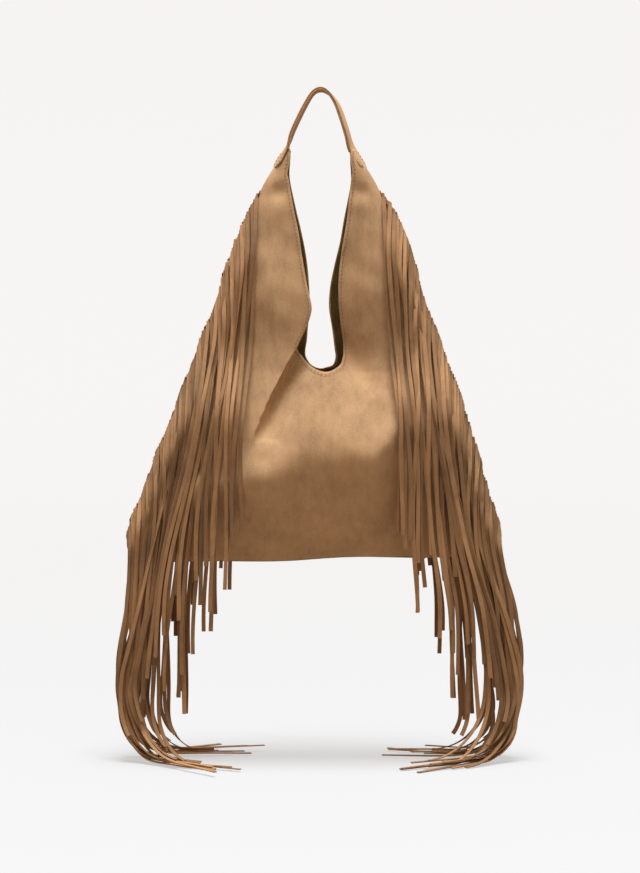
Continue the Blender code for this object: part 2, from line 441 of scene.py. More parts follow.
@dataclass(frozen=True)
class Paper:
    """The matt pale sweep that the bag hangs in front of.

    glow is the light that it gives off at the bag, makes_up how much is added far away, and reach
    the distance in metres over which that comes in.
    """

    name: str
    colour: tuple[float, float, float]
    glow: float
    makes_up: float
    reach: float

    def build(self) -> bpy.types.Material:
        """Make the material: a faint tooth, with a glow that makes up for the light's fall-off."""
        g = Graph(self.name)
        where = g.place()
        tooth = g.noise(where, 0.004, 2.0)
        g.join(g.shader.inputs["Base Color"], g.ramp(tooth, [
            (0.3, tint(self.colour, 0.995)), (0.7, self.colour),
        ]))
        level = g.stretched(where, (1.0, 1.0, 0.0))
        away = g.node("ShaderNodeVectorMath", {"operation": "LENGTH"}, {0: level}, "Value")
        light = (1.0 + away * away * (1 / self.reach**2)) ** -2.0
        shown = self.glow + self.makes_up * (1.0 - light)
        black, white = (0.0, 0.0, 0.0), (1.0, 1.0, 1.0)
        g.join(g.shader.inputs["Emission Color"], g.ramp(shown, [(0.0, black), (1.0, white)]))
        g.shader.inputs["Emission Strength"].default_value = 1.0
        g.shader.inputs["Roughness"].default_value = 1.0
        g.shader.inputs["Specular IOR Level"].default_value = 0.0
        return g.material


# ---------------------------------------------------------------------------------------------
# Mesh helpers
# ---------------------------------------------------------------------------------------------


def mesh_piece(name: str, points: np.ndarray, faces: np.ndarray | list, finish: bpy.types.Material,
               smooth: float = 180.0) -> bpy.types.Object:
    """An object from points and faces.

    Args:
        name: the piece's name.
        points: rows of coordinates in metres.
        faces: rows of point numbers.
        finish: its material.
        smooth: edges sharper than this many degrees stay sharp.

    Returns:
        The linked object.
    """
    mesh = bpy.data.meshes.new(name)
    mesh.from_pydata(np.asarray(points).tolist(), [], [tuple(map(int, face)) for face in faces])
    mesh.update()
    mesh.shade_smooth()
    if smooth < 180.0:
        mesh.set_sharp_from_angle(angle=math.radians(smooth))
    mesh.materials.append(finish)
    made = bpy.data.objects.new(name, mesh)
    bpy.context.scene.collection.objects.link(made)
    return made


def grid_faces(rows: int, columns: int, flipped: bool, base: int = 0) -> np.ndarray:
    """Quads of a grid of points stored row by row."""
    a = (np.arange(rows - 1)[:, None] * columns + np.arange(columns - 1)[None]).ravel() + base
    quads = np.column_stack([a, a + 1, a + columns + 1, a + columns])
    return quads[:, ::-1] if flipped else quads


def swept_faces(stations: int, around: int, base: int) -> list[tuple[int, ...]]:
    """Sides and two end caps of a closed section carried through stations."""
    faces: list[tuple[int, ...]] = []
    for s in range(stations - 1):
        for k in range(around):
            a, b = base + s * around + k, base + s * around + (k + 1) % around
            faces.append((a, b, b + around, a + around))
    last = base + (stations - 1) * around
    faces.append(tuple(base + k for k in reversed(range(around))))
    faces.append(tuple(last + k for k in range(around)))
    return faces


def unit(vectors: np.ndarray) -> np.ndarray:
    """Vectors at length one."""
    return vectors / np.maximum(np.linalg.norm(vectors, axis=-1, keepdims=True), 1e-12)


def tangents(line: np.ndarray) -> np.ndarray:
    """Unit directions along a line of points."""
    return unit(np.gradient(line, axis=0))


# Rings of one stitch: place along it as a share of its length, then width and height in radii.
STITCH_RINGS = ((-0.5, 0.35, -0.6), (-0.34, 0.9, 0.25), (0.0, 1.0, 0.7), (0.34, 0.9, 0.25), (0.5, 0.35, -0.6))
STITCH_SIDES = 6


@dataclass
class StitchRow:
    """A row of thread stitches lying on a line."""

    pitch: float = 4.8 * MM
    length: float = 3.3 * MM
    radius: float = 0.34 * MM

    def add(self, points: list[np.ndarray], faces: list, line: np.ndarray, lift: np.ndarray) -> int:
        """Add the stitches of one seam.

        Args:
            points: arrays of points so far, which grows.
            faces: faces so far, which grows.
            line: the seam's points, in order.
            lift: the way out of the surface at each of them.

        Returns:
            How many stitches were added.
        """
        run = distances(line)
        count = int(run[-1] / self.pitch)
        base = sum(len(p) for p in points)
        angles = np.arange(STITCH_SIDES) * 2 * math.pi / STITCH_SIDES
        for n in range(count):
            at = (n + 0.5) * self.pitch + np.array([-0.5, 0.0, 0.5]) * self.length
            ends = np.column_stack([np.interp(at, run, line[:, k]) for k in range(3)])
            up = unit(np.array([np.interp(at[1], run, lift[:, k]) for k in range(3)]))
            ahead = unit(ends[2] - ends[0])
            side = np.cross(up, ahead)
            for place, width, high in STITCH_RINGS:
                centre = ends[1] + ahead * place * self.length + up * high * self.radius
                ring = centre + self.radius * width * (
                    np.cos(angles)[:, None] * side + np.sin(angles)[:, None] * up
                )
                points.append(ring)
            faces.extend(swept_faces(len(STITCH_RINGS), STITCH_SIDES, base))
            base += STITCH_SIDES * len(STITCH_RINGS)
        return count


# ---------------------------------------------------------------------------------------------
# The hanging bag's shape
# ---------------------------------------------------------------------------------------------


@dataclass(frozen=True)
class Spot:
    """A soft round dent or swell, in millimetres."""

    x: float
    z: float
    wide: float
    high: float
    lift: float

    def height(self, x: np.ndarray, z: np.ndarray) -> np.ndarray:
        """What it adds to the depth at places in metres."""
        away = ((x - self.x * MM) / (self.wide * MM)) ** 2 + ((z - self.z * MM) / (self.high * MM)) ** 2
        return self.lift * MM * np.exp(-away)


@dataclass(frozen=True)
class FlapFold:
    """The left wing folded over, with a ditch in front of its edge, in millimetres."""

    line: tuple[Point, ...] = (
        (-14, -284), (-27, -311), (-38, -329), (-49, -351), (-60, -373), (-69, -395), (-79, -421),
        (-81, -440),
    )
    lift: float = 8.0
    lift_wide: float = 60.0
    edge_wide: float = 4.6
    ditch: float = 16.0
    ditch_place: float = 9.0
    ditch_near: float = 12.0
    ditch_far: float = 18.0
    power: float = 0.4
    ends_from: float = 0.72

    def height(self, x: np.ndarray, z: np.ndarray) -> np.ndarray:
        """What it adds to the depth at places in metres."""
        away, share = line_distance(x, z, self.line)
        fade = (1 - share) ** self.power * (1 - smoothstep(self.ends_from, 1.0, share))
        over = np.where(away < 0, bell(away, self.lift_wide * MM), bell(away, self.edge_wide * MM))
        wide = np.where(away > self.ditch_place * MM, self.ditch_far * MM, self.ditch_near * MM)
        ditch = np.where(away > 0, bell(away - self.ditch_place * MM, wide), 0)
        return fade * (self.lift * MM * over - self.ditch * MM * ditch)


@dataclass(frozen=True)
class CreaseFold:
    """The crease that runs down from the opening's right end, in millimetres."""

    line: tuple[Point, ...] = ((29, -305), (38, -326), (48, -340), (61, -355), (68, -371))
    depth: float = 5.5
    wide: float = 13.0
    power: float = 0.6

    def height(self, x: np.ndarray, z: np.ndarray) -> np.ndarray:
        """What it adds to the depth at places in metres."""
        away, share = line_distance(x, z, self.line)
        return -self.depth * MM * (1 - share) ** self.power * bell(away, self.wide * MM)


@dataclass
class BagShape:
    """Outline and depth of the hanging bag, all in millimetres in the row's frame.

    neck, front_depth, back_depth and side_round are (height, value) pairs, and ridge, the belly's
    crest, is (place across, height) pairs.
    """

    neck_top: float = -70.0
    bottom: float = -571.0
    slope: float = 0.3876
    corner: float = 36.0
    neck: list[Point] = field(default_factory=lambda: [
        (-60, 36.5), (-66, 39.5), (-88, 54), (-116, 70.5), (-130, 76.4),
    ])
    front_depth: list[Point] = field(default_factory=lambda: [
        (-571, 60), (-443, 60), (-400, 50), (-342, 22), (-240, 20), (-160, 17), (-116, 14), (-66, 10.5),
    ])
    back_depth: list[Point] = field(default_factory=lambda: [
        (-571, 2.0), (-540, 22), (-480, 44), (-443, 47.5), (-400, 42), (-342, 28), (-240, 20.5),
        (-116, 13.5), (-66, 10.5),
    ])
    side_round: list[Point] = field(default_factory=lambda: [
        (-571, 150), (-443, 165), (-342, 120), (-240, 70), (-116, 26), (-66, 6),
    ])
    ridge: list[Point] = field(default_factory=lambda: [
        (-235, -478), (-130, -474), (-93, -471), (-60, -471), (-44, -463), (-21, -446), (9, -441),
        (38, -440), (52, -445), (67, -444), (82, -427), (92, -416), (130, -408), (235, -405),
    ])
    folds: tuple[FlapFold | CreaseFold | Spot, ...] = (
        FlapFold(), CreaseFold(), Spot(52, -330, 20, 40, -6.0),
        Spot(-53, -122, 14, 11, -3.6), Spot(-52, -146, 14, 22, 0.8),
        Spot(53, -122, 14, 11, -3.6), Spot(52, -146, 14, 22, 0.8),
    )
    front_waves: tuple[tuple[float, float, int], ...] = ((1.0, 0.11, 3), (0.35, 0.042, 5))
    low_waves: tuple[tuple[float, float, int], ...] = ((0.9, 0.06, 8),)
    back_waves: tuple[tuple[float, float, int], ...] = ((1.1, 0.12, 13), (0.4, 0.045, 15))
    drag_lift: float = 1.6
    drag_wide: float = 12.0
    drag_x: float = 60.0
    drag_z: float = 250.0
    drag_slope: float = 0.25
    sag_lift: float = 2.5
    sag_wide: float = 40.0
    sag_below: float = -2.0
    sag_slope: float = 0.25
    rim: float = -342.0
    rim_depth: float = 22.0
    rim_to_crest: float = 43.0
    hem_depth: float = 2.0
    hem_to_crest: float = 63.0
    crest_soft: float = 4.5
    crest_softer: float = 9.0
    crest_middle: float = -8.0
    crest_wide: float = 42.0
    seam_depth: float = 1.0
    seam_calm: float = 30.0
    drawn_in: float = 14.0
    drawn_at: float = 228.0
    hem_rise: float = 5.5
    hem_drop: float = 1.5
    hem_wave: float = 0.8

    def half_width(self, z: np.ndarray) -> np.ndarray:
        """Distance of the side seam from the middle at heights in metres."""
        straight = 71 * MM + (-116 * MM - z) * self.slope
        neck = smooth_curve(self.neck, z)
        width = np.where(z > -130 * MM, neck, straight)
        into = np.clip(((self.bottom + self.corner) * MM - z) / (self.corner * MM), 0, 1)
        return width - self.corner * MM * (1 - np.sqrt(1 - into**2))

    def hem(self, x: np.ndarray, z: np.ndarray) -> np.ndarray:
        """How far the bottom edge rides up, most at the right."""
        low = smoothstep(0.515, 0.571, -z)
        rise = self.hem_rise * MM * smoothstep(-0.11, 0.07, x) - self.hem_drop * MM
        return low * (rise + self.hem_wave * MM * np.sin(x / (26 * MM)))

    def lean(self, x: np.ndarray, z: np.ndarray) -> np.ndarray:
        """Places across after the right side has been drawn in a little above its bottom corner."""
        drawn = smoothstep(0.33, 0.52, -z) * (1 - smoothstep(0.535, 0.64, -z))
        part = np.clip(x, 0, None) / (self.drawn_at * MM)
        return np.where(x > 0, x - self.drawn_in * MM * drawn * part**2, x)

    def rounding(self, x: np.ndarray, z: np.ndarray) -> np.ndarray:
        """How much of the full depth is reached at a place, from 0 at the side seam to 1."""
        inward = np.clip(self.half_width(z) - np.abs(x), 0, None)
        part = np.clip(inward / smooth_curve(self.side_round, z), 0, 1)
        return 1 - (1 - part) ** 2

    def front(self, x: np.ndarray, z: np.ndarray) -> np.ndarray:
        """Depth of the front panel's inner face in front of the mid plane."""
        upper = smooth_curve(self.front_depth, z)
        crest = smooth_curve(self.ridge, x)
        rim, bottom = self.rim * MM, self.bottom * MM
        rise = np.clip((rim - z) / np.maximum(rim - crest, 1e-6), 0, 3)
        above = self.rim_depth * MM + self.rim_to_crest * MM * rise**0.95
        fall = np.clip((z - bottom) / (crest - bottom), 0, 3)
        below = self.hem_depth * MM + self.hem_to_crest * MM * fall**0.85
        middle = bell(x - self.crest_middle * MM, self.crest_wide * MM)
        blend = self.crest_soft * MM + self.crest_softer * MM * middle
        belly = -blend * np.log(np.exp(-above / blend) + np.exp(-below / blend))
        upper = np.where(z < rim, belly, upper)
        return self._from_seam(x, z, upper, self.front_folds(x, z))

    def _from_seam(self, x: np.ndarray, z: np.ndarray, full: np.ndarray, folds: np.ndarray) -> np.ndarray:
        """Depth that starts shallow and without folds at the side seam."""
        depth = self.seam_depth * MM + (full - self.seam_depth * MM) * self.rounding(x, z)
        return depth + folds * smoothstep(0, self.seam_calm * MM, self.half_width(z) - np.abs(x))

    def front_folds(self, x: np.ndarray, z: np.ndarray) -> np.ndarray:
        """Height of the folds on the front panel."""
        height = sum(fold.height(x, z) for fold in self.folds)
        middle = x + self.drag_x * MM + self.drag_slope * (z + self.drag_z * MM)
        drag = bell(middle, self.drag_wide * MM) * smoothstep(-0.42, -0.25, z)
        height += self.drag_lift * MM * drag * smoothstep(0.12, 0.2, -z)
        height += rippled(x, z, self.front_waves)
        return height + smoothstep(0.44, 0.52, -z) * rippled(x, 0.35 * z, self.low_waves)

    def back(self, x: np.ndarray, z: np.ndarray) -> np.ndarray:
        """Depth of the back panel's inner face behind the mid plane."""
        sag = bell(x - self.sag_slope * (z - self.rim * MM + self.sag_below * MM), self.sag_wide * MM)
        sag = sag * smoothstep(0.34, 0.40, -z) * (1 - smoothstep(0.44, 0.52, -z))
        folds = rippled(x, z, self.back_waves) + self.sag_lift * MM * sag
        return self._from_seam(x, z, smooth_curve(self.back_depth, z), folds)


@dataclass
class Opening:
    """Edge of the deep opening in one panel, from the left neck down and up to the right one."""

    left: list[Point]
    floor: list[Point]
    right: list[Point]
    wing_steps: int = 130
    floor_steps: int = 170

    def edge(self) -> np.ndarray:
        """Points along the edge, in metres, in the three stretches' steps."""
        left = np.array(self.left + self.floor[:1], float) * MM
        floor = np.array(self.floor, float) * MM
        right = np.array(self.floor[-1:] + self.right, float) * MM
        wings = along(left, self.wing_steps)[:-1], along(right, self.wing_steps)[1:]
        return np.vstack([wings[0], along(floor, self.floor_steps), wings[1]])


FRONT_OPENING = Opening(
    left=[(-37, -70), (-35.8, -82), (-39.3, -100), (-38, -108), (-33, -138), (-26, -172),
          (-21, -205), (-15, -239), (-10.5, -260), (-10.5, -270)],
    floor=[(-15, -286), (-26, -309), (-27.5, -314), (-21, -323), (-12, -333.5), (-1, -340), (9, -341.5),
           (18, -338), (25, -332), (28, -322)],
    right=[(28, -307), (25.5, -288), (23, -266), (22, -240), (23.5, -215), (26.5, -192), (31.5, -163),
           (35, -133), (37.6, -109), (39, -100), (36.6, -82), (38, -70)],
)
BACK_OPENING = Opening(
    left=[(-36, -70), (-36.5, -84), (-37, -104), (-30, -138), (-22, -172), (-16, -205), (-13, -239),
          (-13, -260), (-13.5, -272)],
    floor=[(-15, -288), (-16, -301), (-18, -314), (-17, -322), (-11, -331), (-1, -335.5), (9, -334),
           (16, -331), (19, -322), (18, -312)],
    right=[(15, -288), (11.5, -266), (11, -252), (13, -232), (18, -208), (24.5, -181), (29, -155),
           (34, -130), (38, -107), (37, -84), (37, -70)],
)


@dataclass
class Panel:
    """One suede panel with its half of the lining."""

    shape: BagShape
    face: Face
    opening: Opening
    rows: int = 96
    thickness: float = 1.4 * MM
    lining_gap: float = 1.5 * MM
    lining_thickness: float = 0.6 * MM
    lining_inset: float = 2.0 * MM
    lining_least: float = 0.4 * MM
    lip: float = 1.43 * MM
    lip_rows: int = 4
    wing_reach: float = -440 * MM

    def depth(self, x: np.ndarray, z: np.ndarray) -> np.ndarray:
        """Depth of the inner face, positive away from the mid plane."""
        return self.shape.front(x, z) if self.face is Face.FRONT else self.shape.back(x, z)

    def outline(self) -> np.ndarray:
        """Points of the seamed edge that match the opening's points."""
        o, s = self.opening, self.shape
        z = np.linspace(s.neck_top * MM, self.wing_reach, o.wing_steps)
        wing = np.column_stack([-s.half_width(z), z])
        low = (s.bottom + s.corner) * MM
        turn = np.linspace(0, math.pi / 2, 9)
        top_of_turn = s.half_width(np.array([low]))[0]
        wing_end = -s.half_width(np.array([self.wing_reach]))[0]
        side = np.array([[wing_end, self.wing_reach], [-top_of_turn, low]])
        height = low - s.corner * MM * np.sin(turn)
        bend = np.column_stack([-s.half_width(np.clip(height, s.bottom * MM + 1e-6, None)), height])
        half = np.vstack([side[:1], bend, [[0.0, s.bottom * MM]]])
        run = distances(half)
        steps = np.linspace(0, run[-1], o.floor_steps // 2)
        left = np.column_stack([np.interp(steps, run, half[:, k]) for k in range(2)])
        mirrored = left[::-1] * (-1, 1)
        base = np.vstack([left, mirrored])
        return np.vstack([wing[:-1], base, (wing[::-1] * (-1, 1))[1:]])

    def sheet(self, start: float) -> tuple[np.ndarray, np.ndarray]:
        """The panel's flat places as a grid.

        Args:
            start: how far the first row lies inside the opening's edge, in metres.

        Returns:
            x and z of the grid, one row for each step from the opening to the seam.
        """
        edge, outer = self.opening.edge(), self.outline()
        away = outer - edge
        reach = np.linalg.norm(away, axis=1, keepdims=True)
        t = np.linspace(0, 1, self.rows)[:, None, None] ** 1.25
        first = np.minimum(start / reach, 0.4)
        share = first + (1 - first) * t
        places = edge + away * share
        return places[..., 0], places[..., 1]

    def build(self, suede: bpy.types.Material,
              cloth: bpy.types.Material) -> tuple[bpy.types.Object, bpy.types.Object]:
        """Model the panel and its lining.

        Args:
            suede: the panel's material.
            cloth: the lining's material.

        Returns:
            The panel and the lining.
        """
        word, sign = self.face.name.lower(), self.face.value
        x, z = self.sheet(0.0)
        y = self.depth(x, z)
        inward = 1 - np.minimum(np.arange(self.rows) / self.lip_rows, 1)
        y = y - self.lip * inward[:, None] ** 2
        panel = self._sheet_piece(f"{word}_panel_suede", x, sign * y, z, suede, self.thickness, 1.0)
        x, z = self.sheet(self.lining_inset)
        near = [self.depth(x + step * MM, z) for step in (-6, -3, 0, 3, 6)]
        y = np.maximum(np.minimum.reduce(near) - self.lining_gap, self.lining_least)
        lining = self._sheet_piece(f"{word}_lining_cloth", x, sign * y, z, cloth, self.lining_thickness, -1.0)
        return panel, lining

    def _sheet_piece(self, name: str, x: np.ndarray, y: np.ndarray, z: np.ndarray,
                     finish: bpy.types.Material, thickness: float, outward: float) -> bpy.types.Object:
        """One thick sheet from a grid, with the thickness applied."""
        x, z = self.shape.lean(x, z), z + self.shape.hem(x, z)
        points = np.column_stack([x.ravel(), y.ravel(), z.ravel()])
        faces = grid_faces(*x.shape, flipped=self.face is Face.BACK)
        made = mesh_piece(name, points, faces, finish)
        solid = made.modifiers.new("thickness", "SOLIDIFY")
        solid.thickness, solid.offset = thickness, outward
        return made

    def flat_size(self) -> Point:
        """Width and length of the cloth that the panel is cut from, before the opening is cut.

        Returns:
            The longest level run of the panel's surface and its longest run from neck to base, in metres.
        """
        s = self.shape
        share = np.linspace(-1, 1, 200)
        levels = np.linspace((s.bottom + s.corner / 4) * MM, self.wing_reach, 24)
        level_rows = [np.full_like(share, z) for z in levels]
        widths = [self._run(s.half_width(z) * share, z) for z in level_rows]
        neck = float(s.half_width(np.array([s.neck_top * MM]))[0])
        heights = np.linspace(s.bottom, s.neck_top, 200) * MM
        lengths = [self._run(np.full_like(heights, x), heights) for x in (-neck, neck)]
        LOG.info("%s flat size: %.3f x %.3f m", self.face.name.lower(), max(widths), max(lengths))
        return max(widths), max(lengths)

    def _run(self, x: np.ndarray, z: np.ndarray) -> float:
        """Length of a line on the panel's surface."""
        line = np.column_stack([self.shape.lean(x, z), self.depth(x, z), z + self.shape.hem(x, z)])
        return float(np.linalg.norm(np.diff(line, axis=0), axis=1).sum())

    def seam_line(self, inside: float) -> tuple[np.ndarray, np.ndarray]:
        """A line on the outer face, a set distance from the opening's edge, with its outward normals."""
        edge, outer = self.opening.edge(), self.outline()
        tangent = tangents(edge)
        normal = np.column_stack([tangent[:, 1], -tangent[:, 0]])
        away = outer - edge
        normal *= np.sign((normal * away).sum(1, keepdims=True))
        for _ in range(6):
            normal[1:-1] = (normal[:-2] + normal[1:-1] + normal[2:]) / 3
        places = edge + unit(normal) * inside
        x, z = places[:, 0], places[:, 1]
        step = 0.5 * MM
        depth = self.depth(x, z) + self.thickness
        dx = (self.depth(x + step, z) - self.depth(x - step, z)) / (2 * step)
        dz = (self.depth(x, z + step) - self.depth(x, z - step)) / (2 * step)
        sign = self.face.value
        lift = unit(np.column_stack([-dx, np.full_like(dx, sign), -dz]))
        return np.column_stack([x, sign * depth, z]), lift


# ---------------------------------------------------------------------------------------------
# Fringe
# ---------------------------------------------------------------------------------------------


# How far the thongs near the top of each strip stand out sideways, in millimetres.
SHOULDER_SWELL = {Side.LEFT: 5.5, Side.RIGHT: 9.0}
THONG_SIDES = 8


@dataclass
class Fringe:
    """One cut strip of suede, sewn into a side seam and hanging to the floor.

    top, low, width, thickness and length are in metres. The fields from stand on are in millimetres
    where they are sizes: how far the first layer of thongs stands off the bag, the step to the next
    layers, how far the ends reach outwards, and the root that stays at the seam. limit holds the
    strip's outer outline as (height, place across) pairs.
    """

    shape: BagShape
    side: Side
    floor: float
    seed: int
    thongs: int = 92
    top: float = -123 * MM
    low: float = -537 * MM
    width: float = 5.0 * MM
    thickness: float = 1.25 * MM
    length: float = 427 * MM
    stations: int = 64
    layers: int = 3
    stand: float = 2.4
    layer_step: float = 3.2
    reach: float = 18.0
    reach_more: float = 24.0
    reach_wave: float = 27.0
    reach_limits: Point = (-12.0, 92.0)
    spread_full: int = 22
    root: float = 16.0
    hanging_steps: int = 11
    limit: list[Point] = field(default_factory=lambda: [
        (-815, 226), (-795, 230), (-775, 238), (-745, 246), (-700, 252), (-675, 254), (-644, 251),
        (-585, 243), (-534, 238), (-500, 226), (-300, 150), (-100, 68),
    ])

    def route(self, k: int, rng: np.random.Generator) -> np.ndarray:
        """Centre line of one thong.

        Args:
            k: its number, from the top of the seam.
            rng: the strip's random numbers.

        Returns:
            Points in metres, with x measured outwards.
        """
        share = (k + 0.5) / self.thongs
        z0 = self.top + (self.low - self.top) * share
        x0 = float(self.shape.half_width(np.array([z0]))[0])
        facing = -1 if k % 2 == 0 else 1
        order = k // 2
        layer = order % self.layers
        # Neighbours in a layer drift outwards together, in bundles.
        slow = math.sin(order / 4.1 + layer * 2.1 + self.seed)
        wave = slow + 0.5 * math.sin(order / 1.7 + layer + self.seed * 2)
        spread = min(1.0, k / self.spread_full)
        outwards = self.reach + spread * (self.reach_more + self.reach_wave * wave) + rng.normal(0, 6)
        reach = float(np.clip(outwards, *self.reach_limits)) * MM
        stand = (self.stand + self.layer_step * layer + rng.uniform(0, 0.9)) * MM
        swell = SHOULDER_SWELL[self.side] * math.exp(-(((k - 12) / 10) ** 2))
        bump = (rng.uniform(0.5, 2.6) + swell + 2.0 * max(0.0, math.sin(k / 2.6))) * MM
        points = [
            (x0 - 4 * MM, 0.0, z0 + 1 * MM),
            (x0 + bump * 0.6, facing * 1.2 * MM, z0 + rng.uniform(0, 2.0) * MM),
            (x0 + bump, facing * 4.0 * MM, z0 - 5 * MM),
        ]
        deepest = 4.0 * MM
        left_to_floor = z0 - self.floor
        bend = rng.uniform(52, 96) * MM
        hang_to = self.length
        if left_to_floor < self.length + 0.35 * bend:
            hang_to = min(self.length, left_to_floor - bend)
        root = self.root * MM
        for n in range(1, self.hanging_steps + 1):
            down = root + (hang_to - root) * n / self.hanging_steps
            z = z0 - down
            drift = reach * smoothstep(0, 1, np.array([down / (0.30 + 0.1 * share) * 0.8]))[()][0]
            sway = 1.6 * MM * math.sin(down / (38 * MM) + k * 1.3)
            x = x0 + bump * 0.7 + drift + sway
            # The outer outline holds a thong back, softly enough to leave no kink.
            cap = float(smooth_curve(self.limit, np.array([z]))[0]) - (2 - layer) * 2.4 * MM - 2 * MM
            if down > 30 * MM:
                soft = 4 * MM
                x = cap - soft * math.log1p(math.exp(min((cap - x) / soft, 60.0)))
            # A thong lies over the highest place of the bag near it, and keeps that depth below.
            if z > self.shape.bottom * MM:
                wall = self.shape.front if facing < 0 else self.shape.back
                heights = z + np.linspace(-0.5, 0.6, 6) * 40 * MM
                near, levels = np.meshgrid(x + np.array([-3, 0, 3]) * MM, heights)
                levels = np.maximum(levels, self.shape.bottom * MM)
                depth = float(wall(near.ravel(), levels.ravel()).max()) + 1.6 * MM + stand
            else:
                depth = deepest * 0.985
            deepest = max(deepest * 0.97, depth)
            points.append((x, facing * deepest, z))
        if hang_to < self.length:
            points.extend(self._floor_run(points, k, facing, rng))
        return np.array(points)

    def _floor_run(self, points: list, k: int, facing: int, rng: np.random.Generator) -> list:
        """The bend at the floor and the stretch that lies on it.

        Args:
            points: the route so far.
            k: the thong's number.
            facing: -1 in front of the bag and 1 behind it.
            rng: the strip's random numbers.

        Returns:
            The route's further points.
        """
        x, y, z = points[-1]
        order = (k // 2) / (self.thongs / 2)
        spread = rng.uniform(-7, 7)
        angle = math.radians((34 if facing < 0 else 22) + spread + 10 * math.sin(k * 0.9))
        lay = self.floor + self.thickness / 2 + (rng.uniform(0, 9) + 5 * (1 - order)) * MM
        heading = np.array([-math.cos(angle), facing * math.sin(angle)])
        radius = max(z - lay, 8 * MM)
        more = []
        for turn in (0.3, 0.6, 0.9, 1.2, 1.5):
            out = radius * (1 - math.cos(turn))
            more.append((x + heading[0] * out, y + heading[1] * out, z - radius * math.sin(turn)))
        curl = rng.normal(0, 0.25)
        tip_lift = rng.uniform(0, 5) * MM * (rng.random() < 0.35)
        at = np.array(more[-1][:2])
        for n in range(1, 7):
            bent = np.array([
                heading[0] * math.cos(curl * n / 6) - heading[1] * math.sin(curl * n / 6),
                heading[0] * math.sin(curl * n / 6) + heading[1] * math.cos(curl * n / 6),
            ])
            at = at + bent * 32 * MM
            settle = max(lay - 0.9 * MM * n, self.floor + self.thickness / 2 + 0.2 * MM)
            more.append((at[0], at[1], settle + tip_lift * (n / 6) ** 2))
        return more

    def build(self, finish: bpy.types.Material) -> bpy.types.Object:
        """Model the whole strip.

        Args:
            finish: its material.

        Returns:
            The strip, one mesh: the header in the seam and every thong.
        """
        rng = np.random.default_rng(self.seed)
        points, faces, shades = [], [], []
        base = 0
        for k in range(self.thongs):
            line = cut_to(self.route(k, rng), self.length, self.stations)
            line[:, 2] = np.maximum(line[:, 2], self.floor + self.thickness / 2 + 0.1 * MM)
            line[:, 0] *= self.side.value
            line[:, 0] = self.shape.lean(line[:, 0], line[:, 2])
            ring = self._section(line, k, rng)
            points.append(ring.reshape(-1, 3))
            faces.extend(swept_faces(self.stations, THONG_SIDES, base))
            base += self.stations * THONG_SIDES
            shades.extend([rng.uniform(0, 1)] * (self.stations * THONG_SIDES))
        header = self._header()
        points.append(header)
        count = len(header) // 4
        faces.extend(swept_faces(count, 4, base))
        shades.extend([0.5] * len(header))
        made = mesh_piece(f"fringe_{self.side.name.lower()}_thongs", np.vstack(points), faces, finish, 40.0)
        shade = made.data.attributes.new("thong_shade", "FLOAT", "POINT")
        shade.data.foreach_set("value", np.array(shades, np.float32))
        return made

    def _section(self, line: np.ndarray, k: int, rng: np.random.Generator) -> np.ndarray:
        """Corner points of a thong all along its line."""
        ahead = tangents(line)
        run = np.linspace(0, self.length, self.stations)[:, None]
        seam = unit(np.array([self.side.value * -self.shape.slope, 0.0, 1.0]))
        flat = np.tile([1.0, 0.0, 0.0], (self.stations, 1))
        plan = ahead * [1, 1, 0]
        lying = unit(np.column_stack([-plan[:, 1], plan[:, 0], np.zeros(len(plan))]))
        lying *= np.sign((lying @ [1.0, 0.0, 0.0]) + 1e-6)[:, None]
        level = smoothstep(0.45, 0.85, np.linalg.norm(plan, axis=1))[:, None] * (run > 60 * MM)
        across = flat * (1 - level) + lying * level
        start = smoothstep(0, 34 * MM, run)
        across = unit(seam * (1 - start) * 0.8 + across * (start + 0.15))
        twist = rng.normal(0, 0.22) + 0.30 * np.sin(run / (rng.uniform(40, 75) * MM) + rng.uniform(0, 6.28))
        twist = twist * smoothstep(10 * MM, 60 * MM, run)
        if rng.random() < 0.16:
            middle, spread = rng.uniform(0.2, 0.85) * self.length, rng.uniform(25, 45) * MM
            twist = twist + math.pi * rng.choice([-1, 1]) * smoothstep(-spread, spread, run - middle)
        twist = twist * (1 - 0.8 * level)
        across = unit(across - ahead * (across * ahead).sum(1, keepdims=True))
        through = np.cross(ahead, across)
        turned = across * np.cos(twist) + through * np.sin(twist)
        through = np.cross(ahead, turned)
        w, t = self.width / 2 * rng.uniform(0.9, 1.06), self.thickness / 2
        c = 0.28 * MM
        half = [(w, t - c), (w - c, t), (-w + c, t), (-w, t - c)]
        corners = half + [(-a, -b) for a, b in half]
        ring = np.stack([line + turned * a + through * b for a, b in corners], axis=1)
        low = ring[..., 2].min(axis=1, keepdims=True)
        ring[..., 2] += np.maximum(self.floor + 0.1 * MM - low, 0)
        return ring

    def _header(self) -> np.ndarray:
        """The uncut strip that the seam holds."""
        z = np.linspace(self.top + 3 * MM, self.low - 3 * MM, 80)
        x = self.shape.half_width(z)
        t = 0.45 * MM
        sides = []
        for across, through in ((-8 * MM, -t), (1.5 * MM, -t), (1.5 * MM, t), (-8 * MM, t)):
            edge = self.shape.lean(self.side.value * (x + across), z)
            sides.append(np.column_stack([edge, np.full_like(z, through), z]))
        ring = np.stack(sides, axis=1)
        if self.side is Side.LEFT:
            ring = ring[:, ::-1]
        return ring.reshape(-1, 3)


# ---------------------------------------------------------------------------------------------
# Strap
# ---------------------------------------------------------------------------------------------


# A layer's section in half widths across and half thicknesses outwards: crowned above, flat below.
STRAP_SECTION = (
    (1, 0.35), (0.975, 0.8), (0.9, 1), (0.5, 1.08), (0, 1.12), (-0.5, 1.08), (-0.9, 1),
    (-0.975, 0.8), (-1, 0.35), (-1, -0.7), (-0.97, -1), (0, -1), (0.97, -1), (1, -0.7),
)


